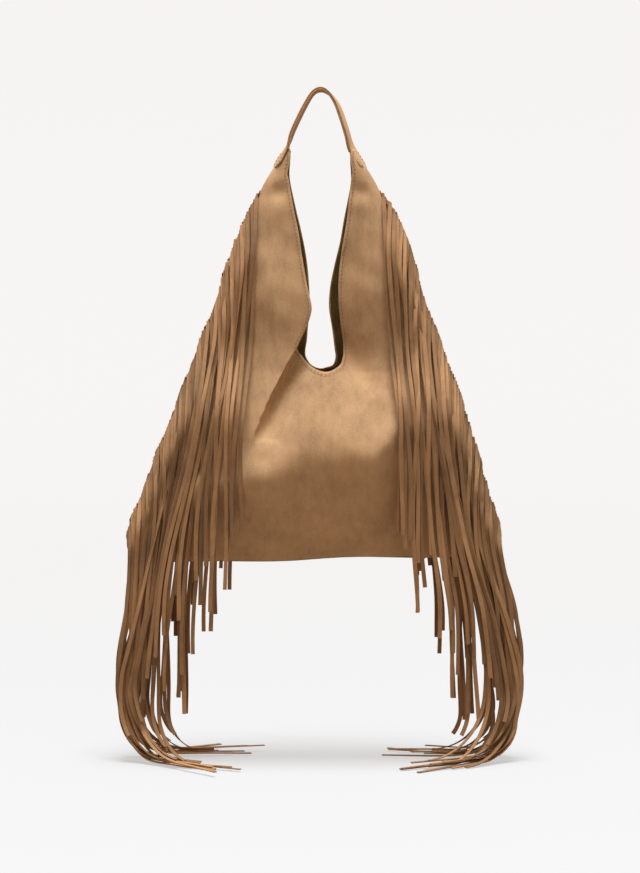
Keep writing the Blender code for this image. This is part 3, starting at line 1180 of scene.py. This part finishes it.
@dataclass
class Strap:
    """The two-layer shoulder strap with a round tab at each end of its outer layer."""

    width: float = 22 * MM
    layer: float = 1.9 * MM
    held_below: float = -68 * MM
    stations: int = 150
    underside_from: int = 17
    line: list[Point] = field(default_factory=lambda: [
        (-56.5, -92), (-51.5, -84), (-43, -69.5), (-39.5, -60), (-35.5, -48), (-28.5, -32.5),
        (-20, -15.5), (-11.5, -1.5), (-4.5, 4.2), (3, 5.2), (9, 2.6), (15, -2.6), (22.5, -13.8),
        (28.6, -29.6), (34.5, -48.4), (39.2, -65), (43.5, -74), (50, -84), (56.5, -93.5),
    ])

    def frames(self, inset: float, tabs: bool) -> tuple[np.ndarray, np.ndarray, np.ndarray, np.ndarray]:
        """Centre line, width directions, outward directions and half widths of one layer.

        Args:
            inset: how far the layer's outer face lies below the strap's outer line.
            tabs: whether the layer ends in the round tabs.

        Returns:
            Four arrays with one row for each station.
        """
        flat = along(np.array(self.line, float) * MM, self.stations)
        if not tabs:
            flat = flat[self.underside_from:-self.underside_from]
        centre = np.column_stack([flat[:, 0], np.zeros(len(flat)), flat[:, 1]])
        ahead = tangents(centre)
        out = np.cross(ahead, [0.0, 1.0, 0.0])
        out *= np.sign(out[len(out) // 2][2])
        twist = math.radians(14) * smoothstep(0, 30 * MM, flat[:, 0]) * smoothstep(-0.09, -0.05, flat[:, 1])
        twist = twist - math.radians(4) * smoothstep(0, 30 * MM, -flat[:, 0])
        twist = (twist + math.radians(21) * smoothstep(0.052, 0.080, -flat[:, 1]))[:, None]
        wide = np.array([0.0, 1.0, 0.0]) * np.cos(twist) + out * np.sin(twist)
        out = out * np.cos(twist) - np.array([0.0, 1.0, 0.0]) * np.sin(twist)
        centre = centre - out * (inset + self.layer / 2)
        half = np.full(len(flat), self.width / 2)
        if tabs:
            run = distances(centre)
            end = np.minimum(run, run[-1] - run)
            radius = self.width / 2
            half = half * np.sqrt(1 - np.clip(1 - end / radius, 0, 0.985) ** 2)
        return centre, wide, out, half

    def build_layer(self, name: str, inset: float, tabs: bool,
                    finish: bpy.types.Material) -> bpy.types.Object:
        """Model one layer.

        Args:
            name: the piece's name.
            inset: how far it lies below the strap's outer line.
            tabs: whether it ends in the round tabs.
            finish: its material.

        Returns:
            The layer.
        """
        centre, wide, out, half = self.frames(inset, tabs)
        t = self.layer / 2
        ring = np.stack([centre + wide * half[:, None] * a + out * t * b for a, b in STRAP_SECTION], axis=1)
        faces = swept_faces(len(centre), len(STRAP_SECTION), 0)
        return mesh_piece(name, ring.reshape(-1, 3), faces, finish, 60.0)

    def seams(self) -> list[tuple[np.ndarray, np.ndarray]]:
        """Lines of stitching along both edges of each tab, with their outward directions."""
        centre, wide, out, half = self.frames(0.0, True)
        rows = []
        for edge in (-1, 1):
            inside = np.maximum(half - 2.6 * MM, 1.5 * MM)[:, None]
            line = centre + wide * inside * edge + out * (self.layer / 2 + 0.1 * MM)
            for tab in (line[:, 0] < 0, line[:, 0] > 0):
                held = tab & (line[:, 2] < self.held_below)
                rows.append((line[held][2:-2], out[held][2:-2]))
        return rows


# ---------------------------------------------------------------------------------------------
# The stage
# ---------------------------------------------------------------------------------------------


@dataclass
class Studio:
    """Camera, soft light and the pale sweep."""

    floor: float
    eye: float = -0.420
    distance: float = 2.5
    long_sensor: float = 36.0
    lens: float = 84.5

    def camera(self) -> bpy.types.Object:
        """A level camera in front of the bag."""
        data = bpy.data.cameras.new("front_camera")
        data.sensor_fit = "VERTICAL" if PICTURE_HIGH > PICTURE_WIDE else "HORIZONTAL"
        data.sensor_height = self.long_sensor
        data.lens = self.lens
        made = bpy.data.objects.new("front_camera", data)
        made.location = (0.0, -self.distance, self.eye)
        made.rotation_euler = (math.radians(90), 0, 0)
        bpy.context.scene.collection.objects.link(made)
        bpy.context.scene.camera = made
        return made

    def sweep(self, finish: bpy.types.Material) -> bpy.types.Object:
        """The floor, curved up into a round wall a long way from the bag."""
        wall, radius, high, around = 9.0, 3.0, 7.0, 96
        profile = [(wall - radius) * n / 12 for n in range(1, 13)]
        rows = [(reach, 0.0) for reach in profile]
        for n in range(1, 17):
            turn = math.pi / 2 * n / 16
            rows.append((wall - radius + radius * math.sin(turn), radius - radius * math.cos(turn)))
        rows.append((wall, high))
        turns = 2 * math.pi * np.arange(around + 1) / around
        points = [(r * math.cos(a), r * math.sin(a), self.floor + z) for r, z in rows for a in turns]
        faces = grid_faces(len(rows), around + 1, True).tolist()
        points.append((0.0, 0.0, self.floor))
        faces.extend((len(points) - 1, k, k + 1) for k in range(around))
        made = mesh_piece("sweep", np.array(points), faces, finish)
        made.visible_diffuse = False
        return made

    def light(self, name: str, place: tuple[float, float, float], size: float, power: float,
              colour: tuple[float, float, float] = (1.0, 1.0, 1.0),
              aim: tuple[float, float, float] = (0.0, 0.0, -0.4)) -> bpy.types.Object:
        """A square soft light that faces a point.

        Args:
            name: the light's name.
            place: where it stands, in metres.
            size: the length of its side, in metres.
            power: its power in watts.
            colour: its colour.
            aim: the point that it faces.

        Returns:
            The linked light.
        """
        data = bpy.data.lights.new(name, "AREA")
        data.shape, data.size, data.energy, data.color = "SQUARE", size, power, colour
        made = bpy.data.objects.new(name, data)
        made.location = place
        toward = np.array(aim) - np.array(place)
        flat = math.hypot(toward[0], toward[1])
        made.rotation_euler = (math.atan2(flat, -toward[2]), 0, math.atan2(-toward[0], toward[1]))
        bpy.context.scene.collection.objects.link(made)
        return made

    def world(self, strength: float) -> None:
        """Even pale surroundings."""
        world = bpy.data.worlds.new("studio")
        world.use_nodes = True
        back = world.node_tree.nodes["Background"]
        back.inputs["Color"].default_value = (1.0, 0.87, 0.76, 1.0)
        back.inputs["Strength"].default_value = strength
        bpy.context.scene.world = world

    def build(self) -> None:
        """Set the whole stage."""
        self.camera()
        self.sweep(Paper("pale_paper", (0.228, 0.212, 0.196), 0.505, 0.30, 4.8).build())
        self.world(0.46)
        self.light("key_overhead", (0.1, -0.55, 4.0), 2.0, 450.0, (0.77, 0.87, 1.0))
        bpy.context.scene.view_settings.view_transform = "Standard"


# ---------------------------------------------------------------------------------------------
# The bag
# ---------------------------------------------------------------------------------------------


@dataclass
class Bag:
    """The whole bag on its CAD frame."""

    shape: BagShape
    floor: float

    def finishes(self) -> dict[str, bpy.types.Material]:
        """Every material of the bag."""
        camel = (0.490, 0.278, 0.132)
        return {
            "body": Suede("camel_suede", camel).build(),
            "fringe": Suede("thong_suede", (0.455, 0.235, 0.102), 1.1, 0.8, 0.50).build(),
            "strap": Suede("strap_suede", tint(camel, 0.94), 0.9).build(),
            "lining": Weave("olive_lining", (0.118, 0.066, 0.015)).build(),
            "thread": Thread("tan_thread", (0.16, 0.075, 0.032)).build(),
        }

    def settle(self, piece: bpy.types.Object, slot: str, *nodes: str) -> None:
        """Make a piece part of the object.

        Args:
            piece: the piece.
            slot: not used.
            nodes: the CAD nodes that it stands for.
        """
        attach(piece, ROOT_BODY)
        if nodes:
            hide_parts(*nodes)
        LOG.info("%s: %d faces", piece.name, len(piece.data.polygons))

    def stitched(self, name: str, rows: list, finish: bpy.types.Material) -> bpy.types.Object:
        """A piece made of rows of stitches."""
        points: list[np.ndarray] = []
        faces: list = []
        total = sum(StitchRow().add(points, faces, line, lift) for line, lift in rows)
        made = mesh_piece(name, np.vstack(points), faces, finish)
        LOG.info("%s: %d stitches", name, total)
        self.settle(made, "strap_suede")
        return made

    def build(self) -> None:
        """Build every piece, attach it to the bag's body and hide the CAD parts that it stands for."""
        finish = self.finishes()
        fringes = {}
        for side, seed in ((Side.LEFT, 11), (Side.RIGHT, 23)):
            strip = Fringe(self.shape, side, self.floor, seed).build(finish["fringe"])
            self.settle(strip, "fringe_suede", f"fringe_{side.name.lower()}")
            fringes[side] = strip
        for face, opening in ((Face.FRONT, FRONT_OPENING), (Face.BACK, BACK_OPENING)):
            panel = Panel(self.shape, face, opening)
            word = face.name.lower()
            suede, cloth = panel.build(finish["body"], finish["lining"])
            self.settle(suede, "body_suede", f"{word}_panel")
            self.settle(cloth, "lining_cloth", f"{word}_lining")
            seam = self.stitched(f"{word}_opening_stitching", [panel.seam_line(3.4 * MM)], finish["thread"])
            extras = [seam] + (list(fringes.values()) if face is Face.FRONT else [])
            flat = panel.flat_size()
        strap = Strap()
        outer = strap.build_layer("strap_outer_suede", 0.0, True, finish["strap"])
        under = strap.build_layer("strap_underside_suede", strap.layer + 0.15 * MM, False, finish["strap"])
        self.settle(outer, "strap_suede", "strap_outer")
        self.settle(under, "strap_suede", "strap_underside")
        self.stitched("strap_stitching", strap.seams(), finish["thread"])


def main() -> None:
    """Build the bag and its stage."""
    logging.basicConfig(level=logging.INFO)
    floor = CAD_BOX[0][2]
    Studio(floor).build()
    Bag(BagShape(), floor).build()


if __name__ == "__main__":
    main()
